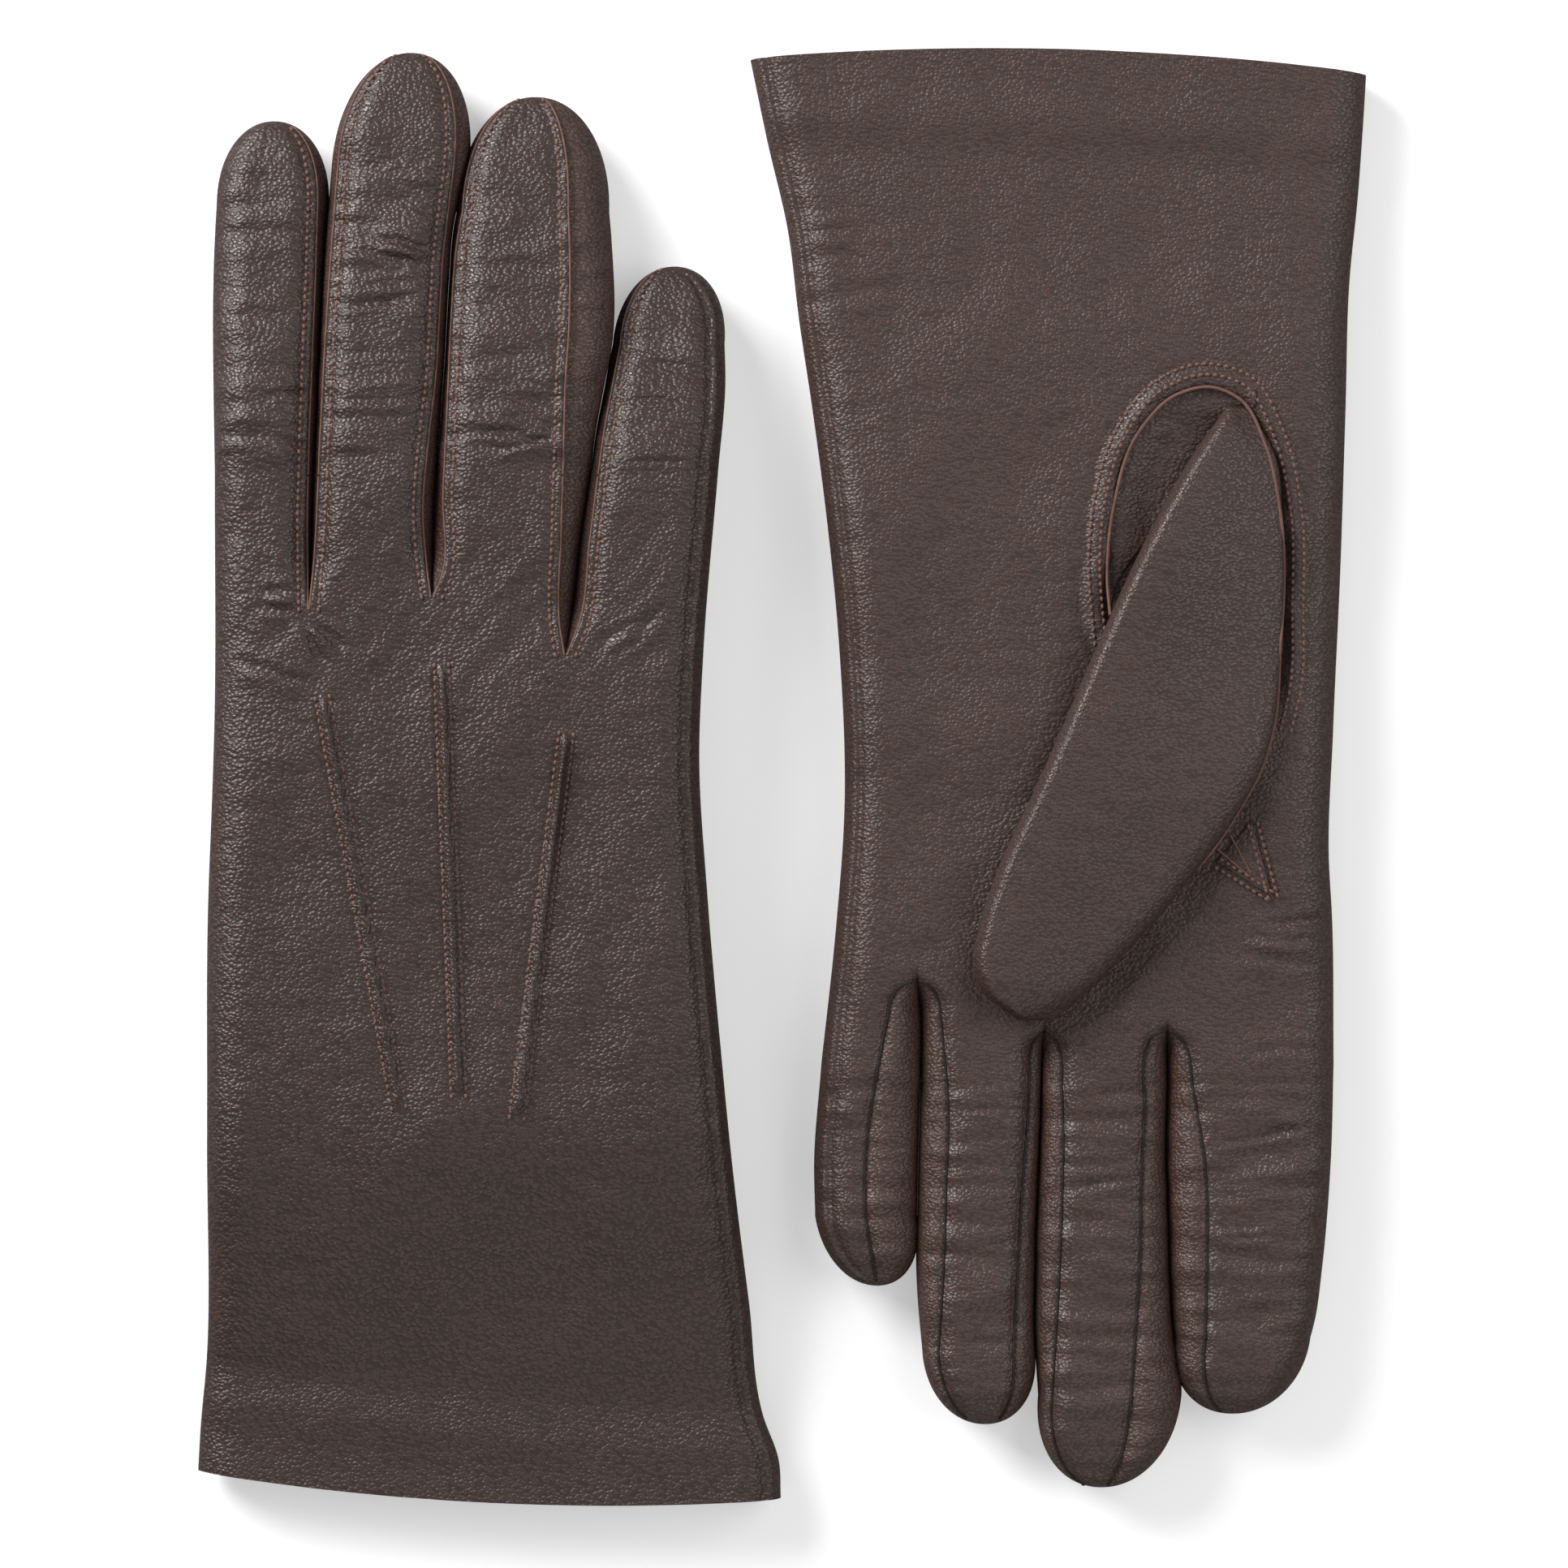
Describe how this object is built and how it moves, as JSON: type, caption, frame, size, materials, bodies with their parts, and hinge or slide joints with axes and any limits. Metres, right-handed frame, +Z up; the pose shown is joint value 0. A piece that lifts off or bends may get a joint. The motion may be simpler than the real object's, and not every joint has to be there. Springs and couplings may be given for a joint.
{
  "type": "pair of leather gloves",
  "caption": "Pair of dark brown lined leather dress gloves with gusseted fingers, set-in thumbs and stitched points on the back.",
  "frame": {"origin": "centre of the pair's footprint, on the surface the gloves lie on", "axes": "+Y towards the right glove's fingertips, +X from the right glove to the left one, +Z up"},
  "size_m": [0.2222, 0.2752, 0.0234],
  "materials": {
    "leather": "fine-grained glove leather, satin",
    "fourchette": "thinner skived glove leather, redder and more matte",
    "lining": "fine dark knit"
  },
  "bodies": {
    "right_hand": {"right_trank": "leather", "right_cuff_hem": "leather", "right_hand_lining": "lining", "right_quirk": "leather"},
    "right_index_finger": {"right_index_trank": "leather", "right_index_fourchette": "fourchette", "right_index_lining": "lining"},
    "right_middle_finger": {"right_middle_back": "leather", "right_middle_palm": "leather", "right_middle_fourchette_ring_side": "fourchette", "right_middle_fourchette_index_side": "fourchette", "right_middle_lining": "lining"},
    "right_ring_finger": {"right_ring_back": "leather", "right_ring_palm": "leather", "right_ring_fourchette_little_side": "fourchette", "right_ring_fourchette_middle_side": "fourchette", "right_ring_lining": "lining"},
    "right_little_finger": {"right_little_back": "leather", "right_little_palm": "leather", "right_little_fourchette": "fourchette", "right_little_lining": "lining"},
    "right_thumb": {"right_thumb": "leather", "right_thumb_lining": "lining"},
    "left_hand": {"left_trank": "leather", "left_cuff_hem": "leather", "left_hand_lining": "lining", "left_quirk": "leather"},
    "left_index_finger": {"left_index_trank": "leather", "left_index_fourchette": "fourchette", "left_index_lining": "lining"},
    "left_middle_finger": {"left_middle_back": "leather", "left_middle_palm": "leather", "left_middle_fourchette_ring_side": "fourchette", "left_middle_fourchette_index_side": "fourchette", "left_middle_lining": "lining"},
    "left_ring_finger": {"left_ring_back": "leather", "left_ring_palm": "leather", "left_ring_fourchette_little_side": "fourchette", "left_ring_fourchette_middle_side": "fourchette", "left_ring_lining": "lining"},
    "left_little_finger": {"left_little_back": "leather", "left_little_palm": "leather", "left_little_fourchette": "fourchette", "left_little_lining": "lining"},
    "left_thumb": {"left_thumb": "leather", "left_thumb_lining": "lining"}
  },
  "joints": [
    {"name": "right_index_flex", "type": "hinge", "parent": "right_hand", "child": "right_index_finger", "pos_m": [-0.0978, 0.0519, 0.0094], "axis": [-1, 0, 0], "range_deg": [0, 90]},
    {"name": "right_middle_flex", "type": "hinge", "parent": "right_hand", "child": "right_middle_finger", "pos_m": [-0.07615, 0.0519, 0.0094], "axis": [-1, 0, 0], "range_deg": [0, 90]},
    {"name": "right_ring_flex", "type": "hinge", "parent": "right_hand", "child": "right_ring_finger", "pos_m": [-0.05, 0.0519, 0.0094], "axis": [-1, 0, 0], "range_deg": [0, 90]},
    {"name": "right_little_flex", "type": "hinge", "parent": "right_hand", "child": "right_little_finger", "pos_m": [-0.02415, 0.0519, 0.0094], "axis": [-1, 0, 0], "range_deg": [0, 90]},
    {"name": "right_thumb_swing", "type": "hinge", "parent": "right_hand", "child": "right_thumb", "pos_m": [-0.0985, -0.0281, 0.0092], "axis": [0, 1, 0], "range_deg": [0, 50]},
    {"name": "left_index_flex", "type": "hinge", "parent": "left_hand", "child": "left_index_finger", "pos_m": [0.08925, -0.0516, 0.014], "axis": [-1, 0, 0], "range_deg": [0, 90]},
    {"name": "left_middle_flex", "type": "hinge", "parent": "left_hand", "child": "left_middle_finger", "pos_m": [0.06155, -0.0516, 0.014], "axis": [-1, 0, 0], "range_deg": [0, 90]},
    {"name": "left_ring_flex", "type": "hinge", "parent": "left_hand", "child": "left_ring_finger", "pos_m": [0.03785, -0.0516, 0.014], "axis": [-1, 0, 0], "range_deg": [0, 90]},
    {"name": "left_little_flex", "type": "hinge", "parent": "left_hand", "child": "left_little_finger", "pos_m": [0.01675, -0.0516, 0.014], "axis": [-1, 0, 0], "range_deg": [0, 90]},
    {"name": "left_thumb_swing", "type": "hinge", "parent": "left_hand", "child": "left_thumb", "pos_m": [0.0951, 0.0284, 0.0142], "axis": [0, 1, 0], "range_deg": [0, 50]},
    {"name": "left_glove_lift", "type": "slide", "parent": "right_hand", "child": "left_hand", "axis": [0, 0, 1], "range_m": [0, 0.12]}
  ]
}
